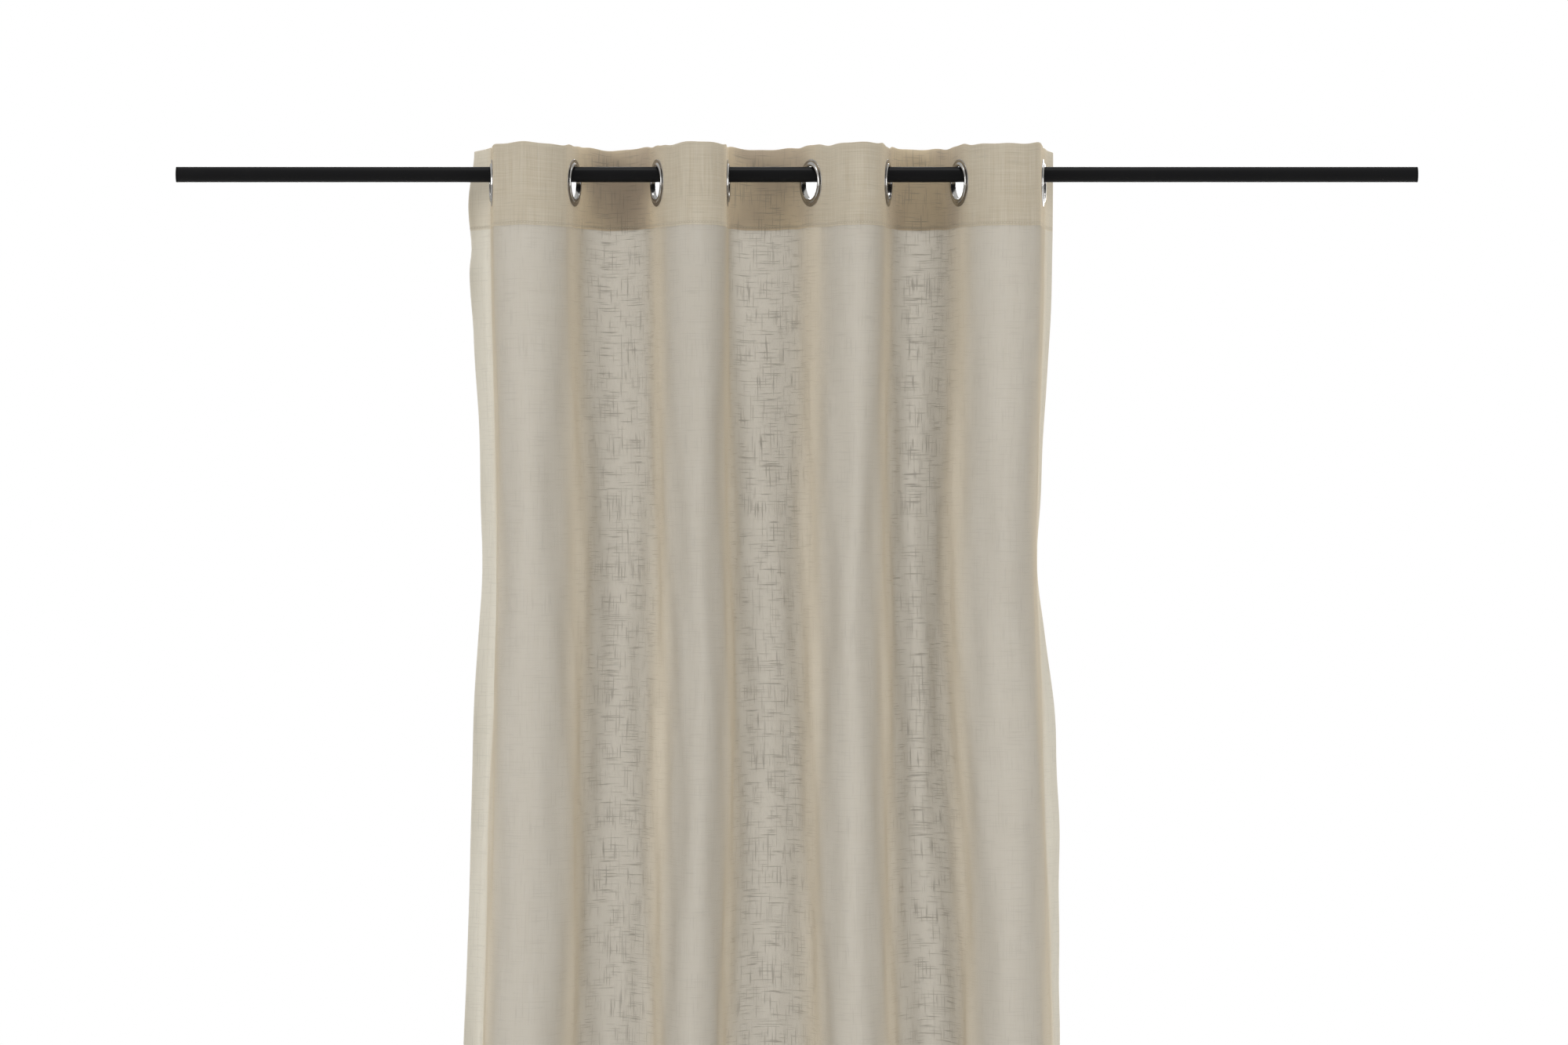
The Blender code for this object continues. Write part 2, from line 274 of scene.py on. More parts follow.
def unevenness(across, drop):  # how far the cloth stands off its smooth shape, along its face
    loose = easeBetween(curtain["heading"] + curtain["looseStart"], uneven["fromDrop"], drop)
    out = numpy.zeros(len(across))
    for height, wide, long, start in uneven["ripples"]:
        out += loose * height * numpy.sin(2 * math.pi * (across / wide + drop / long) + start)
    height, reach, short, long = uneven["pucker"]
    seam = math.exp(-(((drop - curtain["seamDrop"]) / reach) ** 2))
    slow = numpy.sin(2 * math.pi * across / long + 1)
    out += height * seam * numpy.sin(2 * math.pi * across / short) * slow
    edge = numpy.exp(-numpy.minimum(across, clothWidth - across) / uneven["sideReach"])
    flutter = sum(height * math.sin(drop * rate + start) for height, rate, start in uneven["sideWaves"])
    out += edge * loose * flutter
    return out


def edgeLift(across, drop):  # the top edge and the heading's seam aren't quite level
    lift = sum(height * numpy.sin(2 * math.pi * across / wide + start)
               for height, wide, start in uneven["topWaves"])
    corner = numpy.exp(-numpy.minimum(across, clothWidth - across) / uneven["cornerReach"])
    held = 1 - uneven["heldShare"] * easeBetween(0.0, uneven["heldDrop"], drop)
    return (lift - uneven["cornerDrop"] * corner) * held * (1 - easeBetween(*uneven["fadeDrops"], drop))


def hang(across, drop, offset):  # flat cloth coordinates to places in the room
    across, drop, offset = (numpy.asarray(values, float) for values in (across, drop, offset))
    places = numpy.zeros((len(across), 3))
    along = across - curtain["sideMargin"]
    for height in numpy.unique(drop):
        here = drop == height
        for k in range(-1, eyeletCount):
            begins, finishes = k * curtain["pitch"], (k + 1) * curtain["pitch"]
            if k == -1:
                chosen = here & (along < 0)
            elif k == eyeletCount - 1:
                chosen = here & (along >= begins)
            else:
                chosen = here & (along >= begins) & (along < finishes)
            if not chosen.any():
                continue
            if k == -1:
                place, slope = beyondEyelet(0, height, -along[chosen])
            elif k == eyeletCount - 1:
                place, slope = beyondEyelet(k, height, along[chosen] - begins)
            else:
                place, slope = betweenEyelets(k, height, along[chosen] - begins)
            slope = slope / numpy.linalg.norm(slope, axis=1)[:, None]
            stand = offset[chosen] + unevenness(across[chosen], height)
            places[chosen, 0] = place[:, 0] + slope[:, 1] * stand
            places[chosen, 1] = place[:, 1] - slope[:, 0] * stand
            places[chosen, 2] = clothTop - height + edgeLift(across[chosen], height)
    return places


def steps(start, end, size):  # even steps of about this size, both ends with them
    count = max(1, round(abs(end - start) / size))
    return [start + (end - start) * i / count for i in range(count + 1)]


def seamPress(drop):  # 1 on the heading's row of stitches, where the layers are pulled together
    return math.exp(-(((drop - curtain["seamDrop"]) / curtain["pressReach"]) ** 2))


def halfRound(radius):  # round a turned edge: place along it, depth into it, way back
    for step in range(5):
        angle = math.pi * step / 4
        along = curtain["roundStep"] * (step - 2)
        yield along, radius * (1 - math.sin(angle)), radius * (1 - math.cos(angle))


def clothRows():  # (place along the cloth, drop, offset) from the turned heading to the turned hem
    fine, coarse = curtain["fineStep"], curtain["rowStep"]
    front, back, hem = curtain["frontOffset"], curtain["turnOffset"], curtain["hemOffset"]
    total, heading = curtain["drop"], curtain["heading"]
    top, seam, bottom = curtain["foldClear"], heading + curtain["seamPast"], total - curtain["edgeClear"]
    rows = []
    for drop in steps(curtain["headingTurn"], top, fine):
        rows.append((-drop, drop, back + curtain["pressBack"] * seamPress(drop)))
    for along, depth, way in halfRound((front - back) / 2):
        rows.append((along, depth, back + way))
    for drop in steps(top, seam, fine) + steps(seam, bottom, coarse)[1:]:
        relaxed = easeBetween(heading, curtain["layersEnd"], drop)
        rows.append((drop, drop, front * (1 - relaxed) - curtain["pressFront"] * seamPress(drop)))
    for along, depth, way in halfRound(-hem / 2):
        rows.append((total + along, total - depth, -way))
    for drop in steps(bottom, total - curtain["hemTurn"], coarse):
        rows.append((2 * total - drop, drop, hem))
    return rows


def clothColumns(k):  # (place across the cloth, place across, offset) for the piece from eyelet k to the next
    pitch, margin, fine = curtain["pitch"], curtain["sideMargin"], curtain["fineStep"]
    columns = [(a, a, 0.0) for a in steps(margin + k * pitch, margin + (k + 1) * pitch, fine)]
    clear, behind = curtain["edgeClear"], curtain["hemOffset"]
    turned = [(-a, a, behind) for a in steps(curtain["sideTurn"], clear, fine)]
    turned += [(along, depth, behind + way) for along, depth, way in halfRound(-behind / 2)]
    outer = turned + [(a, a, 0.0) for a in steps(clear, margin, fine)]
    if k == 0:
        columns = outer + columns[1:]
    if k == eyeletCount - 2:
        columns += [(clothWidth - u, clothWidth - a, offset) for u, a, offset in reversed(outer)][1:]
    return columns


def holeMiddles():  # across the cloth
    return [curtain["sideMargin"] + k * curtain["pitch"] for k in range(eyeletCount)]


def cutCloth(name, columns, rows, material):  # cut flat, punched, then hung
    bm = bmesh.new()
    across, down = len(columns) - 1, len(rows) - 1
    bmesh.ops.create_grid(bm, x_segments=across, y_segments=down, size=0.5)
    bmesh.ops.reverse_faces(bm, faces=bm.faces[:])
    flat = {}
    for vert in bm.verts:
        column = columns[round((vert.co.x + 0.5) * across)]
        row = rows[round((0.5 - vert.co.y) * down)]
        flat[vert] = [column[0], row[0], column[1], row[1], column[2] + row[2]]
    radius, height = curtain["holeRadius"], curtain["eyeletDrop"]
    punched = []
    for face in bm.faces:
        a = sum(flat[vert][2] for vert in face.verts) / 4
        b = sum(flat[vert][3] for vert in face.verts) / 4
        if b < 2 * height and any(math.hypot(a - middle, b - height) < radius for middle in holeMiddles()):
            punched.append(face)
    bmesh.ops.delete(bm, geom=punched, context="FACES")
    kept = list(bm.verts)
    for vert in kept:  # the hole's rim is drawn out to a circle
        u, v, a, b, offset = flat[vert]
        if not vert.is_boundary or b > 2 * height:
            continue
        for middle in holeMiddles():
            away = math.hypot(a - middle, b - height)
            if curtain["holeInside"] < away < radius + curtain["fineStep"] * curtain["holeSteps"]:
                newA, newB = middle + (a - middle) * radius / away, height + (b - height) * radius / away
                flat[vert] = [u + newA - a, v + (newB - b) * (1 if v > 0 else -1), newA, newB, offset]
    table = numpy.array([flat[vert] for vert in kept])
    uv = bm.loops.layers.uv.new("cloth")
    for face in bm.faces:
        for loop in face.loops:
            loop[uv].uv = flat[loop.vert][0:2]
    for vert, place in zip(kept, hang(table[:, 2], table[:, 3], table[:, 4])):
        vert.co = place
    return addPiece(name, meshFrom(bm, name), material)


def meshFrom(bm, name):
    mesh = bpy.data.meshes.new(name)
    bm.to_mesh(mesh)
    bm.free()
    return mesh


crisp = {"cloth": 50, "ring": 40, "cap": 35}  # edges sharper than this stay crisp, in degrees


def smoothed(mesh, angle):
    mesh.shade_smooth()
    mesh.set_sharp_from_angle(angle=math.radians(angle))


def addPiece(name, mesh, material):
    mesh.name = name
    mesh.materials.append(material)
    piece = bpy.data.objects.new(name, mesh)
    bpy.context.scene.collection.objects.link(piece)
    return piece


def giveThickness(piece, thickness):
    solid = piece.modifiers.new("thickness", "SOLIDIFY")
    solid.thickness = thickness
    solid.offset = 0
    shaped = piece.evaluated_get(bpy.context.evaluated_depsgraph_get())
    mesh = bpy.data.meshes.new_from_object(shaped)
    piece.modifiers.clear()
    piece.data = mesh
    mesh.name = piece.name
    smoothed(mesh, crisp["cloth"])


def blendZone(k):  # the widest slanting band across the piece that clears both of its eyelets
    clear = curtain["blendClear"]
    lefts, rights, drops = [], [], []
    for drop in steps(0.0, curtain["drop"], curtain["blendStep"]):
        (here, way), (there, nextWay) = crossing(k, drop), crossing(k + 1, drop)
        ring = eyelet["rim"] if drop < curtain["heading"] else 0
        lefts.append(here[0] + clear + ring * way[0])
        rights.append(there[0] - clear - ring * nextWay[0])
        drops.append(drop)
    best = None
    for step in range(-60, 61):  # the slant that leaves the widest band
        slant = step / 1000
        low = max(left - slant * drop for left, drop in zip(lefts, drops))
        high = min(right - slant * drop for right, drop in zip(rights, drops))
        if best is None or high - low > best[1] - best[0]:
            best = (low, high, slant)
    low, high, slant = best
    start = Vector((low, 0, clothTop))
    end = start + Vector((1, 0, slant)) * (high - low) / (1 + slant * slant)
    return start, end


def eyeletBody(k):
    return f"eyelet_{k + 1}"


class Wire:  # one output of a material's nodes; sums on it add Math nodes
    def __init__(self, tree, socket):
        self.tree = tree
        self.socket = socket

    def node(self, kind, settings, sockets, output=0):  # any other node
        made = self.tree.nodes.new(kind)
        for name, value in settings.items():
            setattr(made, name, value)
        for name, value in sockets.items():
            if isinstance(value, Wire):
                self.tree.links.new(value.socket, made.inputs[name])
            else:
                made.inputs[name].default_value = value
        return Wire(self.tree, made.outputs[output])

    def math(self, operation, *others):
        return self.node("ShaderNodeMath", {"operation": operation}, dict(enumerate((self, *others))))

    def __add__(self, other):
        return self.math("ADD", other)

    def __sub__(self, other):
        return self.math("SUBTRACT", other)

    def __mul__(self, other):
        return self.math("MULTIPLY", other)

    def __truediv__(self, other):
        return self.math("DIVIDE", other)

    def __rsub__(self, other):
        return self.node("ShaderNodeMath", {"operation": "SUBTRACT"}, {0: other, 1: self})

    __radd__ = __add__
    __rmul__ = __mul__

    def between(self, low, high):  # 0 below low, 1 above high, smooth between
        settings = {"interpolation_type": "SMOOTHSTEP"}
        return self.node("ShaderNodeMapRange", settings, {"Value": self, "From Min": low, "From Max": high})

    def blend(self, first, second):  # a colour between two, by this factor
        return self.node("ShaderNodeMix", {"data_type": "RGBA"}, {0: self, 6: first, 7: second}, 2)

    def bump(self, distance, strength):
        return self.node("ShaderNodeBump", {}, {"Height": self, "Distance": distance, "Strength": strength})

    def noise(self, place, scale, detail):
        return self.node("ShaderNodeTexNoise", {}, {"Vector": place, "Scale": scale, "Detail": detail})


def newMaterial(name, metallic=0.0, roughness=0.5, viewColor=(0.8, 0.8, 0.8, 1.0)):
    material = bpy.data.materials.new(name)
    material.use_nodes = True
    material.diffuse_color = viewColor
    tree = material.node_tree
    shader = tree.nodes["Principled BSDF"]
    shader.inputs["Metallic"].default_value = metallic
    shader.inputs["Roughness"].default_value = roughness
    return material, tree, shader, Wire(tree, None)


def stretchedNoise(across, down, acrossScale, downScale, detail, start):
    sockets = {"X": across * acrossScale + start, "Y": down * downScale, "Z": start}
    place = across.node("ShaderNodeCombineXYZ", {}, sockets)
    return across.noise(place, 1.0, detail)


linen = {
    "thread": 0.00095,  # from one thread to the next
    "light": (0.490, 0.474, 0.440, 1.0),
    "dark": (0.390, 0.365, 0.320, 1.0),
    "slub": (0.200, 0.190, 0.175, 1.0),
    "glow": (0.705, 0.683, 0.640, 1.0),
    "hollowPaintedLight": (0.760, 0.735, 0.670, 1.0),  # painted light: the folds behind, painted lighter in place of the light that reaches into their hollows
    "tan": (0.800, 0.705, 0.545, 1.0),  # painted light and sheen where the cloth turns from front to back: the flanks are painted lighter and warmer
    "through": 0.62,  # how much of the light goes through
    "roughness": 0.88,
    "specular": 0.15,
    "sheen": (1.0, 0.84, 0.60, 1.0),
    "sheenWeight": 0.8,
    "sheenRoughness": 0.35,
    "toneRange": (0.30, 0.72),  # of the threads' tone, from dark to light
    "patchShare": 0.16,
    "warpSlubRange": (0.68, 0.78),
    "weftSlubRange": (0.67, 0.77),
    "slubFaint": 0.35,  # of a slub's strength on the folds in front
    "hollowPaintedLightShare": 0.45,  # how far each of these colours goes over the one before it
    "tanShare": 0.70,
    "slubShare": 0.46,
    "hemShare": 0.45,
    "gapShare": 0.35,  # the dark between the threads
    "rimBand": (0.030, 0.062),  # from a side edge, where the rim's colour begins to fade and ends
    "rimDim": 0.62,  # how much less light goes through the rim
    "bump": 0.00016,
    "bumpStrength": 0.8,
    "rim": (0.660, 0.630, 0.550, 1.0),  # the two side edges, where the cloth is doubled: paler for the second layer, and lifted further as painted light where the doubled cloth lets less light through
    "headingLight": (0.520, 0.478, 0.395, 1.0),
    "headingDark": (0.390, 0.335, 0.250, 1.0),
    "headingHollowPaintedLight": (0.700, 0.585, 0.415, 1.0),  # the same heading in the folds behind, painted lighter and warmer as painted light
    # the darker end of the same painted light on the heading in the folds behind, spread in cloudy patches
    "headingHollowPaintedLightPatch": (0.430, 0.350, 0.270, 1.0),
    # painted shadow along the heading's row of stitches
    "headingSeamShadow": (0.270, 0.235, 0.180, 1.0),
    "headingThrough": 0.14,
    "headingHollowPaintedLightShare": 0.85,
    "headingRimShare": 0.35,
    "headingSeamShadowShare": 0.45,
    "headingSeamShadowWidth": 0.0026,
}

linenPatterns = {  # per metre across and down the cloth, detail, start
    "warpTone": (0.9 / linen["thread"], 14.0, 2.0, 3.0),  # each thread has its own shade
    "weftTone": (14.0, 0.9 / linen["thread"], 2.0, 11.0),
    "bandTone": (130.0, 3.0, 3.0, 21.0),
    "cloudTone": (9.0, 7.0, 3.0, 31.0),
    "patch": (55.0, 40.0, 1.0, 61.0),
    "warpSlub": (760.0, 26.0, 1.0, 41.0),
    "weftSlub": (26.0, 760.0, 1.0, 51.0),
}


def linenMaterial(name, isHeading=False):
    material, tree, shader, wire = newMaterial(name, 0.0, linen["roughness"], linen["light"])
    cut = wire.node("ShaderNodeUVMap", {"uv_map": "cloth"}, {})
    across = wire.node("ShaderNodeSeparateXYZ", {}, {"Vector": cut}, 0)
    down = wire.node("ShaderNodeSeparateXYZ", {}, {"Vector": cut}, 1)
    thread = linen["thread"]
    tones = {part: stretchedNoise(across, down, *pattern) for part, pattern in linenPatterns.items()}
    warpTone, weftTone, cloudTone = tones["warpTone"], tones["weftTone"], tones["cloudTone"]
    patch = tones["patch"] * linen["patchShare"]
    warpSlub = (tones["warpSlub"] + patch).between(*linen["warpSlubRange"])
    weftSlub = (tones["weftSlub"] + patch).between(*linen["weftSlubRange"])
    margin, soft, edge = curtain["sideMargin"], 0.01, 0.001
    phase = ((across - margin) * (math.pi / curtain["pitch"])).math("SINE")  # above 0 in front of the rod
    inner = across.between(margin - soft, margin + soft) * (
        1 - across.between(clothWidth - margin - soft, clothWidth - margin + soft))
    hollowPaintedLight = (0.5 - 0.5 * phase).between(0.2, 0.9) * inner  # the folds behind, where light is painted: a lighter colour, and slubs that stand out more
    faint = linen["slubFaint"]
    # painted light: slubs are drawn stronger in the folds behind, standing in for the light that shows them
    # through the cloth there
    slub = warpSlub.math("MAXIMUM", weftSlub) * (faint + (1 - faint) * hollowPaintedLight)
    tone = warpTone * 0.42 + weftTone * 0.34 + tones["bandTone"] * 0.14 + cloudTone * 0.10
    light, dark = linen["light"], linen["dark"]
    if isHeading:
        light, dark = linen["headingLight"], linen["headingDark"]
    ground = tone.between(*linen["toneRange"]).blend(dark, light)
    weft = (across / thread * math.pi).math("SINE").math("ABSOLUTE")
    warp = (down / thread * math.pi).math("SINE").math("ABSOLUTE")
    square = (across / thread).math("FLOOR") + (down / thread).math("FLOOR")
    over = square.math("MODULO", 2.0).math("ABSOLUTE")  # 1 where the thread that runs down lies on top
    weave = over * weft + (1 - over) * warp
    near, far = linen["rimBand"]
    rim = (1 - across.between(near, far)).math("MAXIMUM", across.between(clothWidth - far, clothWidth - near))
    outside = across.between(-edge, edge) * (1 - across.between(clothWidth - edge, clothWidth + edge))
    rim = rim * outside  # not on the turned layer behind
    if isHeading:
        # painted light: the heading's front face in the folds behind is painted lighter, in cloudy patches
        shown = hollowPaintedLight * down.between(-edge, edge)
        headingHollowPaint = cloudTone.between(0.35, 0.65).blend(linen["headingHollowPaintedLightPatch"], linen["headingHollowPaintedLight"])
        ground = (shown * linen["headingHollowPaintedLightShare"]).blend(ground, headingHollowPaint)
    else:
        # painted light: the folds behind are painted lighter, standing in for the light that reaches into
        # their hollows
        ground = (hollowPaintedLight * linen["hollowPaintedLightShare"]).blend(ground, linen["hollowPaintedLight"])
        # painted light and sheen on the flanks, where the cloth turns from front to back
        flankPaintedLightMask = (1 - phase.math("ABSOLUTE")).between(0.10, 0.90)
        ground = (flankPaintedLightMask * linen["tanShare"]).blend(ground, linen["tan"])
    hemTop = curtain["drop"] - curtain["hemTurn"]
    # the doubled side edges and the hem, painted paler: partly the second layer, partly painted light
    doubled = rim.math("MAXIMUM", down.between(hemTop - edge, hemTop + edge) * linen["hemShare"])
    ground = (doubled * (linen["headingRimShare"] if isHeading else 1.0)).blend(ground, linen["rim"])
    colour = (slub * linen["slubShare"]).blend(ground, linen["slub"])
    if isHeading:  # painted shadow along the row of stitches, where the layers are pulled in
        seamShadow = 1 - (down - curtain["seamDrop"]).math("ABSOLUTE") / linen["headingSeamShadowWidth"]
        colour = (seamShadow.between(0.0, 1.0) * linen["headingSeamShadowShare"]).blend(colour, linen["headingSeamShadow"])
    colour = ((1 - weave).between(0.55, 1.0) * linen["gapShare"]).blend(colour, dark)
    tree.links.new(colour.socket, shader.inputs["Base Color"])
    height = weave * 0.55 + warpTone * 0.5 + weftTone * 0.5 + slub * 0.9
    normal = height.bump(linen["bump"], linen["bumpStrength"])
    tree.links.new(normal.socket, shader.inputs["Normal"])
    shader.inputs["Sheen Weight"].default_value = linen["sheenWeight"]
    shader.inputs["Sheen Roughness"].default_value = linen["sheenRoughness"]
    shader.inputs["Sheen Tint"].default_value = linen["sheen"]
    shader.inputs["Specular IOR Level"].default_value = linen["specular"]
    glow = wire.node("ShaderNodeBsdfTranslucent", {}, {"Color": linen["glow"]})
    tree.links.new(normal.socket, glow.socket.node.inputs["Normal"])
    through = linen["headingThrough"] if isHeading else linen["through"]
    openness = through * (1.12 - 0.42 * slub - 0.24 * tone) * (1 - linen["rimDim"] * rim)
    mixed = wire.node("ShaderNodeMixShader", {}, {0: openness, 1: Wire(tree, shader.outputs[0]), 2: glow})
    tree.links.new(mixed.socket, tree.nodes["Material Output"].inputs["Surface"])
    return material


yarn = {"color": (0.62, 0.57, 0.48, 1.0), "dark": (0.52, 0.47, 0.38, 1.0), "light": (0.68, 0.63, 0.54, 1.0),
        "roughness": 0.7, "twist": 1400.0, "bump": 0.0001, "sheen": 0.3}


def threadMaterial():
    material, tree, shader, wire = newMaterial("sewingThread", 0.0, yarn["roughness"], yarn["color"])
    place = wire.node("ShaderNodeTexCoord", {}, {}, "Object")
    twist = wire.noise(place, yarn["twist"], 2.0)
    colour = twist.between(0.3, 0.7).blend(yarn["dark"], yarn["light"])
    tree.links.new(colour.socket, shader.inputs["Base Color"])
    tree.links.new(twist.bump(yarn["bump"], 0.6).socket, shader.inputs["Normal"])
    shader.inputs["Sheen Weight"].default_value = yarn["sheen"]
    return material


nickel = {"color": (0.50, 0.49, 0.475, 1.0), "shade": (0.34, 0.335, 0.33, 1.0), "roughness": 0.15,
          "haze": 55.0, "scratches": 900.0, "bump": 0.00001}


def nickelMaterial(name, roughness):
    material, tree, shader, wire = newMaterial(name, 1.0, roughness, nickel["color"])
    place = wire.node("ShaderNodeTexCoord", {}, {}, "Object")
    haze = wire.noise(place, nickel["haze"], 4.0)
    scratch = wire.noise(place, nickel["scratches"], 3.0)
    colour = haze.between(0.35, 0.75).blend(nickel["shade"], nickel["color"])
    tree.links.new(colour.socket, shader.inputs["Base Color"])
    rough = roughness * (0.75 + 0.6 * haze) + 0.04 * scratch.between(0.62, 0.75)
    tree.links.new(rough.socket, shader.inputs["Roughness"])
    tree.links.new(scratch.bump(nickel["bump"], 0.25).socket, shader.inputs["Normal"])
    return material


powderCoat = {"color": (0.0045, 0.0045, 0.005, 1.0), "worn": (0.010, 0.010, 0.010, 1.0), "roughness": 0.34,
              "plasticRoughness": 0.5, "gloss": 0.08, "grain": 1500.0, "rub": 26.0, "bump": 0.00004}


def powderCoatMaterial(name, roughness):
    material, tree, shader, wire = newMaterial(name, 0.0, roughness, powderCoat["color"])
    place = wire.node("ShaderNodeTexCoord", {}, {}, "Object")
    grain = wire.noise(place, powderCoat["grain"], 3.0)
    rub = wire.noise(place, powderCoat["rub"], 5.0)
    wear = grain.between(0.55, 0.80) * 0.4 + rub.between(0.55, 0.85) * 0.4
    colour = wear.blend(powderCoat["color"], powderCoat["worn"])
    tree.links.new(colour.socket, shader.inputs["Base Color"])
    rough = roughness * (0.8 + 0.35 * grain + 0.25 * rub)
    tree.links.new(rough.socket, shader.inputs["Roughness"])
    tree.links.new(grain.bump(powderCoat["bump"], 0.35).socket, shader.inputs["Normal"])
    shader.inputs["Specular IOR Level"].default_value = powderCoat["gloss"]
    return material


# the profile's points are radius and height; they are turned about Z, then placed
def spunRing(name, profile, segments, place, material):
    bm = bmesh.new()
    verts = [bm.verts.new((radius, 0, height)) for radius, height in profile]
    edges = [bm.edges.new((a, b)) for a, b in zip(verts, verts[1:] + verts[:1])]
    bmesh.ops.spin(bm, geom=verts + edges, cent=(0, 0, 0), axis=(0, 0, 1), dvec=(0, 0, 0),
                   angle=2 * math.pi, steps=segments, use_merge=True, use_duplicate=False)
    bmesh.ops.recalc_face_normals(bm, faces=bm.faces[:])
    bmesh.ops.transform(bm, matrix=place, verts=bm.verts[:])
    mesh = meshFrom(bm, name)
    smoothed(mesh, crisp["ring"])
    return addPiece(name, mesh, material)


def arc(middle, radii, start, end, count):  # points of a profile on part of an ellipse, angles in degrees
    points = []
    for i in range(count + 1):
        angle = math.radians(start + (end - start) * i / count)
        points.append((middle[0] + radii[0] * math.cos(angle), middle[1] + radii[1] * math.sin(angle)))
    return points


eyelet = {
    "hole": 0.0200, "barrel": 0.0208, "rim": 0.0290, "backRim": 0.0285, "backHole": 0.0211,
    "under": 0.00070, "lipHigh": 0.00190, "lipWide": 0.0020, "lipRise": 0.00120,
    "flangeRoot": 0.00165, "flangeEdge": 0.00135, "backFace": -0.00160, "backCrown": -0.00300,
    "barrelFront": -0.0026, "barrelBack": -0.00285, "flangeMiddle": (0.0262, 0.00158),
    "edgeRound": (0.0005, 0.00032),
    # the barrel's end, curled outwards over the back ring
    "barrelCurl": [(0.0216, -0.00306), (0.0217, -0.00335), (0.0213, -0.00362), (0.0207, -0.0037),
                   (0.0202, -0.0034)],
    "segments": 96,
}


def eyeletMatrix(k):  # Z along the cloth's face and X up, at the eyelet's middle
    lean = math.radians(curtain["leans"][k])
    way = -1 if k % 2 == 0 else 1
    face, up = Vector((way * math.cos(lean), -math.sin(lean), 0)), Vector((0, 0, 1))
    turn = Matrix((up, face.cross(up), face)).transposed().to_4x4()
    return Matrix.Translation((curtain["eyeletX"][k], 0, eyeletZ)) @ turn


def eyeletFace(k, material):
    e = eyelet
    lipMiddle = (e["hole"] + e["lipWide"], e["lipHigh"])
    profile = [(e["hole"], e["barrelFront"])]
    profile += arc(lipMiddle, (e["lipWide"], e["lipRise"]), 180, 0, 14)
    profile += [(lipMiddle[0] + e["lipWide"] + 0.0003, e["flangeRoot"]), e["flangeMiddle"],
                (e["rim"] - 0.0006, e["flangeEdge"])]
    profile += arc((e["rim"] - 0.0005, 0.00100), e["edgeRound"], 80, -80, 6)
    profile += [(e["rim"] - 0.0010, e["under"]), (e["barrel"], e["under"]), (e["barrel"], e["barrelBack"])]
    profile += e["barrelCurl"]
    return spunRing(f"eyeletFace_{k + 1}", profile, e["segments"], eyeletMatrix(k), material)


def eyeletBack(k, material):
    e = eyelet
    middle = (e["backHole"] + e["backRim"]) / 2
    profile = [(e["backHole"], e["backFace"]), (e["backRim"] - 0.0003, e["backFace"]),
               (e["backRim"], e["backFace"] - 0.0003), (e["backRim"] - 0.0002, e["backFace"] - 0.0008),
               (e["backRim"] - 0.0009, e["backFace"] - 0.00115), (middle, e["backCrown"] + 0.00008),
               (e["backHole"] + 0.0008, e["backCrown"]), (e["backHole"], e["backCrown"] + 0.0003)]
    return spunRing(f"eyeletBack_{k + 1}", profile, e["segments"], eyeletMatrix(k), material)


rod = {"segments": 96, "wall": 0.0009, "endRound": 0.0002, "capRound": 0.0004, "capFlange": 0.0020,
       "capPlug": 0.0140, "fit": 0.0003}


def makeRod(material):
    low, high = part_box("rod_tube")
    outer, half, soft = (high.z - low.z) / 2, high.x, rod["endRound"]
    inner = outer - rod["wall"]
    profile = [(inner, -half), (outer - soft, -half), (outer, -half + soft), (outer, half - soft),
               (outer - soft, half), (inner, half)]
    return spunRing("rodTube", profile, rod["segments"], Matrix.Rotation(math.radians(90), 4, "Y"), material)


def makeCap(side, material):
    low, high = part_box("rod_end_cap_left" if side < 0 else "rod_end_cap_right")
    outer, soft = (high.z - low.z) / 2, rod["capRound"]
    plug = outer - rod["wall"] - rod["fit"]
    bm = bmesh.new()
    bmesh.ops.create_circle(bm, cap_ends=True, radius=outer, segments=rod["segments"])
    disc = bm.faces[:]
    raised = bmesh.ops.extrude_face_region(bm, geom=disc)["geom"]
    bmesh.ops.translate(bm, verts=[v for v in raised if isinstance(v, bmesh.types.BMVert)],
                        vec=(0, 0, rod["capFlange"]))
    inner = next(face for face in raised if isinstance(face, bmesh.types.BMFace))
    bmesh.ops.inset_individual(bm, faces=[inner], thickness=outer - plug, depth=0)
    stem = bmesh.ops.extrude_discrete_faces(bm, faces=[inner])["faces"]
    bmesh.ops.translate(bm, verts=list(stem[0].verts), vec=(0, 0, rod["capPlug"]))
    front = [edge for edge in bm.edges if all(abs(vert.co.z) < 1e-7 for vert in edge.verts)]
    bmesh.ops.bevel(bm, geom=front, offset=soft, offset_type="OFFSET", segments=4, profile=0.5,
                    affect="EDGES", material=-1)
    bmesh.ops.recalc_face_normals(bm, faces=bm.faces[:])
    rodEnd = Matrix.Translation((high.x if side > 0 else low.x, 0, 0))
    place = rodEnd @ Matrix.Rotation(math.radians(-90 * side), 4, "Y")
    bmesh.ops.transform(bm, matrix=place, verts=bm.verts[:])
    name = "rodCapLeft" if side < 0 else "rodCapRight"
    mesh = meshFrom(bm, name)
    smoothed(mesh, crisp["cap"])
    return addPiece(name, mesh, material)


sewing = {"stitch": 0.0030, "gap": 0.0007, "lead": 0.1, "radius": 0.00021, "fromFold": 0.003,
          "fromSide": 0.002}


def oneStitch():  # a ball of radius 1 with few faces, to be drawn out along the cloth
    bm = bmesh.new()
    bmesh.ops.create_uvsphere(bm, u_segments=6, v_segments=4, radius=1)
    bm.verts.index_update()
    points = numpy.array([vert.co for vert in bm.verts])
    faces = [[vert.index for vert in face.verts] for face in bm.faces]
    bm.free()
    return points, faces


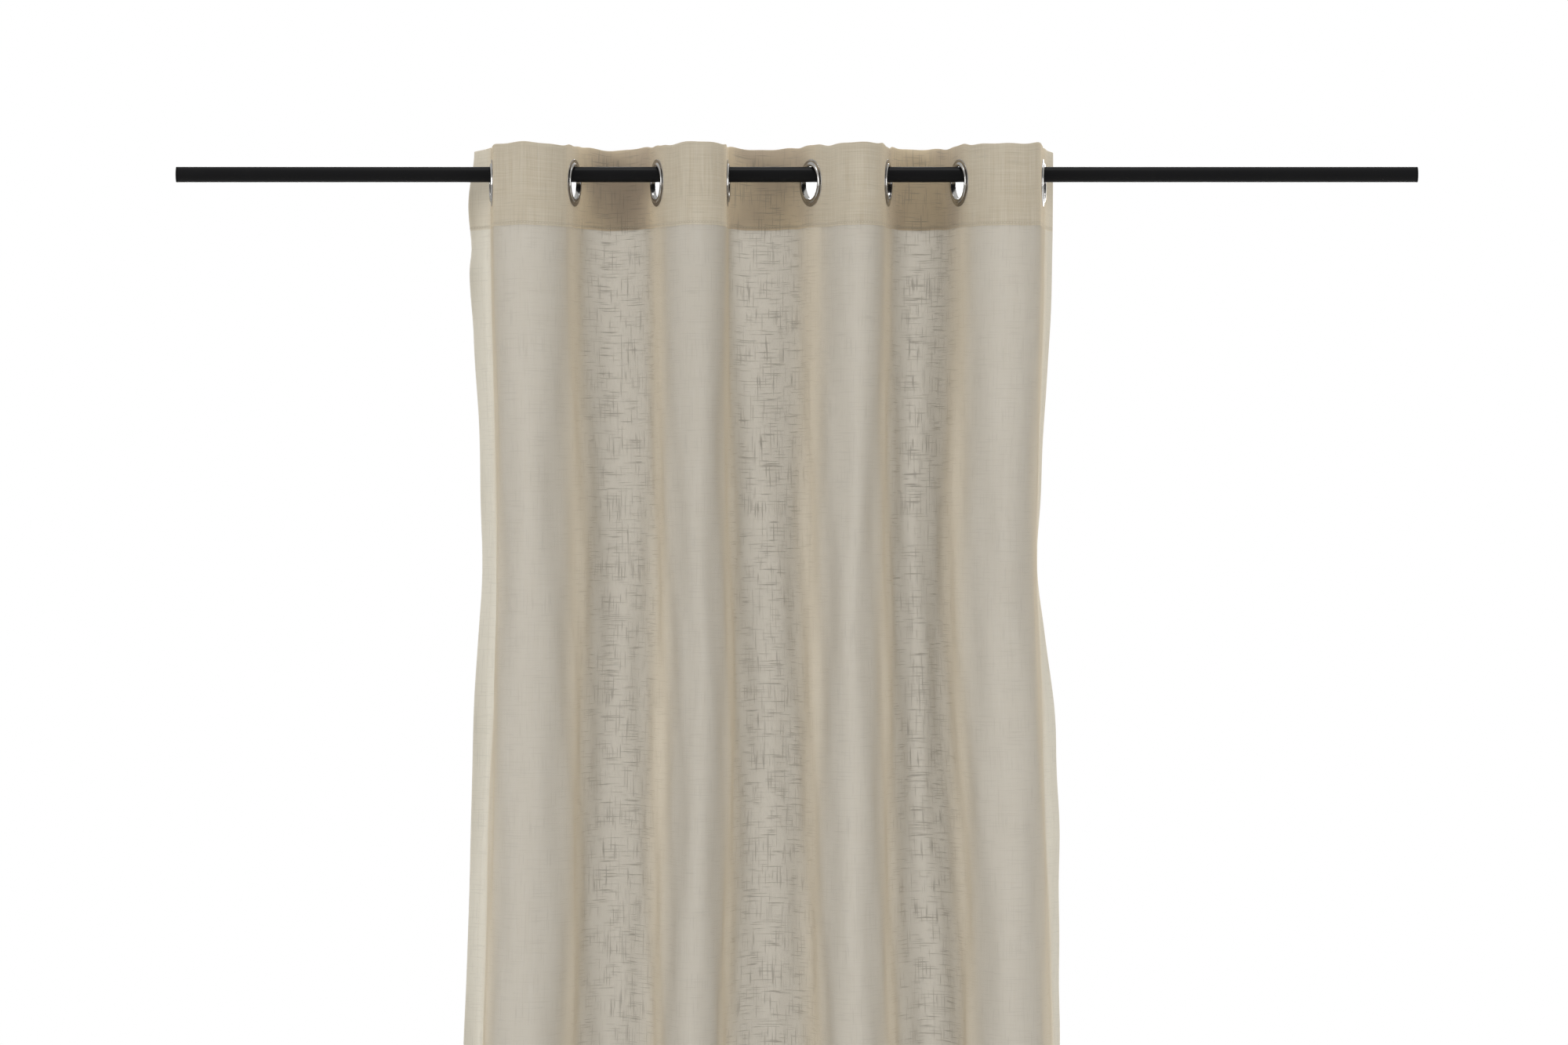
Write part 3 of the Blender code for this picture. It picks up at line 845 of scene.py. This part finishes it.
def stitchRow(starts, ends, offset):  # one row's points, from flat places given as (across, drop)
    a = hang([p[0] for p in starts], [p[1] for p in starts], [offset] * len(starts))
    b = hang([p[0] for p in ends], [p[1] for p in ends], [offset] * len(ends))
    half = (b - a) / 2
    along = half / numpy.linalg.norm(half, axis=1)[:, None]
    upright = numpy.abs(along[:, 2:]) > 0.9
    side = numpy.cross(along, numpy.where(upright, (1.0, 0.0, 0.0), (0.0, 0.0, 1.0)))
    side /= numpy.linalg.norm(side, axis=1)[:, None]
    other = numpy.cross(along, side)
    spindle = oneStitch()[0]
    radius = sewing["radius"]
    return ((a + b)[:, None, :] / 2 + spindle[None, :, 0:1] * radius * side[:, None, :]
            + spindle[None, :, 1:2] * radius * other[:, None, :] + spindle[None, :, 2:3] * half[:, None, :])


def stitchPlaces(first, last):  # where each stitch of a row starts
    pitch = sewing["stitch"] + sewing["gap"]
    count = int((last - first) / pitch)
    return [first + pitch * (i + sewing["lead"]) for i in range(count)]


def sewPiece(k, material):
    stitches = []
    half = curtain["thickness"] / 2
    first = curtain["sideMargin"] + k * curtain["pitch"]
    last = curtain["sideMargin"] + (k + 1) * curtain["pitch"]
    if k == 0:
        first = sewing["fromSide"]
    if k == eyeletCount - 2:
        last = clothWidth - sewing["fromSide"]
    across = stitchPlaces(first, last)
    stitch, fromFold = sewing["stitch"], sewing["fromFold"]
    seam, hemSeam = curtain["seamDrop"], curtain["drop"] - curtain["hemTurn"] + fromFold
    for drop, offset in ((seam, curtain["frontOffset"] - curtain["pressFront"] + half),
                         (seam, curtain["turnOffset"] + curtain["pressBack"] - half),
                         (hemSeam, half), (hemSeam, curtain["hemOffset"] - half)):
        stitches.append(stitchRow([(a, drop) for a in across], [(a + stitch, drop) for a in across], offset))
    sides = []
    if k == 0:
        sides.append(curtain["sideTurn"] - fromFold)
    if k == eyeletCount - 2:
        sides.append(clothWidth - curtain["sideTurn"] + fromFold)
    for side in sides:
        drops = stitchPlaces(curtain["heading"] + fromFold, curtain["drop"] - curtain["hemTurn"])
        for offset in (half, curtain["hemOffset"] - half):
            stitches.append(stitchRow([(side, drop) for drop in drops],
                                      [(side, drop + stitch) for drop in drops], offset))
    points, faces = numpy.concatenate(stitches), oneStitch()[1]
    size = points.shape[1]
    mesh = bpy.data.meshes.new(f"stitching_{k + 1}")
    mesh.from_pydata(points.reshape(-1, 3).tolist(), [],
                     [[corner + size * i for corner in face] for i in range(len(points)) for face in faces])
    mesh.shade_smooth()
    return addPiece(mesh.name, mesh, material)


linenCloth = linenMaterial("linenCloth")
linenHeading = linenMaterial("linenHeading", isHeading=True)
sewingThread = threadMaterial()
polishedNickel = nickelMaterial("polishedNickel", nickel["roughness"])
blackCoat = powderCoatMaterial("blackPowderCoat", powderCoat["roughness"])
blackPlastic = powderCoatMaterial("blackPlastic", powderCoat["plasticRoughness"])
print("materials made")

rodTube = makeRod(blackCoat)
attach(rodTube, "rod")
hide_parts("rod_tube")
for side, node in ((-1, "rod_end_cap_left"), (1, "rod_end_cap_right")):
    cap = makeCap(side, blackPlastic)
    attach(cap, "rod")
    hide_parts(node)
print("rod made")

for k in range(eyeletCount):
    face, back = eyeletFace(k, polishedNickel), eyeletBack(k, polishedNickel)
    for piece, node in ((face, f"eyelet_front_{k + 1}"), (back, f"eyelet_back_{k + 1}")):
        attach(piece, eyeletBody(k))
        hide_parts(node)
print("eyelets made")

rows = clothRows()
tapeEnd = curtain["heading"] - curtain["tapeMargin"] - curtain["tapeShort"]
tapeRows = [(drop, drop, curtain["tapeOffset"])
            for drop in steps(curtain["tapeMargin"], tapeEnd, curtain["fineStep"])]
for k in range(eyeletCount - 1):
    start, end = blendZone(k)
    columns = clothColumns(k)
    tapeColumns = [(u, a, 0.0) for u, a, offset in columns
                   if u == a and curtain["tapeMargin"] <= a <= clothWidth - curtain["tapeMargin"]]
    panel = cutCloth(f"clothPanel_{k + 1}", columns, rows, linenCloth)
    giveThickness(panel, curtain["thickness"])
    tape = cutCloth(f"headingTape_{k + 1}", tapeColumns, tapeRows, linenHeading)
    giveThickness(tape, curtain["tapeThickness"])
    stitches = sewPiece(k, sewingThread)
    panel.data.materials.append(linenHeading)
    uvs = numpy.zeros(len(panel.data.loops) * 2)
    panel.data.uv_layers["cloth"].data.foreach_get("uv", uvs)
    drops = uvs[1::2]
    for face in panel.data.polygons:  # the heading's cloth lets less light through
        corners = drops[face.loop_start:face.loop_start + face.loop_total]
        if corners.mean() < curtain["heading"]:
            face.material_index = 1
    cloths = [f"cloth_strip_{k + 1}", f"cloth_fold_{k + 1}"]
    tapes = [f"heading_tape_strip_{k + 1}", f"heading_tape_fold_{k + 1}"]
    if k == 0:
        cloths.append("cloth_edge_left")
        tapes.append("heading_tape_edge_left")
    if k == eyeletCount - 2:
        cloths += [f"cloth_strip_{k + 2}", "cloth_edge_right"]
        tapes += [f"heading_tape_strip_{k + 2}", "heading_tape_edge_right"]
    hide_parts(*cloths)
    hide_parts(*tapes)
    for piece in (panel, tape, stitches):
        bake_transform(piece)
    width = columns[-1][0] - columns[0][0]
    rows[-1][0] - rows[0][0]
    tapeColumns[-1][0] - tapeColumns[0][0]
    tapeRows[-1][0] - tapeRows[0][0]
    print("cloth hung:", panel.name, "zone", round((end - start).length, 4))

floorMaterial, floorTree, floorShader, floorWire = newMaterial("paleFloor", 0.0, studio["floorRoughness"])
floorPlace = floorWire.node("ShaderNodeTexCoord", {}, {}, "Object")
floorTone = floorWire.noise(floorPlace, 3.0, 4.0)
floorColour = floorTone.blend(studio["floorDark"], studio["floorLight"])
floorTree.links.new(floorColour.socket, floorShader.inputs["Base Color"])
level = floorWire.node("ShaderNodeVectorMath", {"operation": "MULTIPLY"}, {0: floorPlace, 1: (1.0, 1.0, 0.0)})
away = floorWire.node("ShaderNodeVectorMath", {"operation": "LENGTH"}, {0: level}, "Value")  # from the middle
fade = away.between(studio["floorFade"], studio["floorReach"])
floorTree.links.new((1 - fade.math("POWER", 0.5)).socket, floorShader.inputs["Alpha"])
floorShader.inputs["Emission Color"].default_value = (1.0, 1.0, 1.0, 1.0)
floorShader.inputs["Emission Strength"].default_value = studio["floorGlow"]
bm = bmesh.new()
bmesh.ops.create_circle(bm, cap_ends=True, segments=96, radius=studio["floorReach"])
bmesh.ops.translate(bm, verts=bm.verts[:], vec=(0, 0, hemZ - studio["floorDrop"]))
floor = addPiece("paleFloor", meshFrom(bm, "paleFloor"), floorMaterial)

world = bpy.data.worlds.new("softWorld")
world.use_nodes = True
sky = Wire(world.node_tree, None)
direction = sky.node("ShaderNodeTexCoord", {}, {}, "Generated")
height = sky.node("ShaderNodeSeparateXYZ", {}, {"Vector": direction}, 2)
roomGlow = height.between(-0.1, 0.5).blend(studio["roomLight"], studio["skyLight"])
seen = sky.node("ShaderNodeLightPath", {}, {}, "Is Camera Ray")
background = world.node_tree.nodes["Background"]
world.node_tree.links.new(seen.blend(roomGlow, studio["backdrop"]).socket, background.inputs["Color"])
bpy.context.scene.world = world

for name, place, aim, size, watts in studio["lights"]:
    light = bpy.data.lights.new(name, "AREA")
    light.shape, light.size, light.energy = "DISK", size, watts
    lamp = bpy.data.objects.new(name, light)
    lamp.location = place
    lamp.rotation_euler = (Vector(aim) - Vector(place)).to_track_quat("-Z", "Y").to_euler()
    lamp.visible_camera = False
    bpy.context.scene.collection.objects.link(lamp)

cameraData = bpy.data.cameras.new("camera")
cameraData.lens, cameraData.sensor_width = studio["lens"], studio["sensor"]
camera = bpy.data.objects.new("camera", cameraData)
camera.location = studio["cameraPlace"]
camera.rotation_euler = (math.radians(90), 0, 0)
bpy.context.scene.collection.objects.link(camera)
bpy.context.scene.camera = camera
bpy.context.scene.view_settings.view_transform = "Standard"
print("studio made")
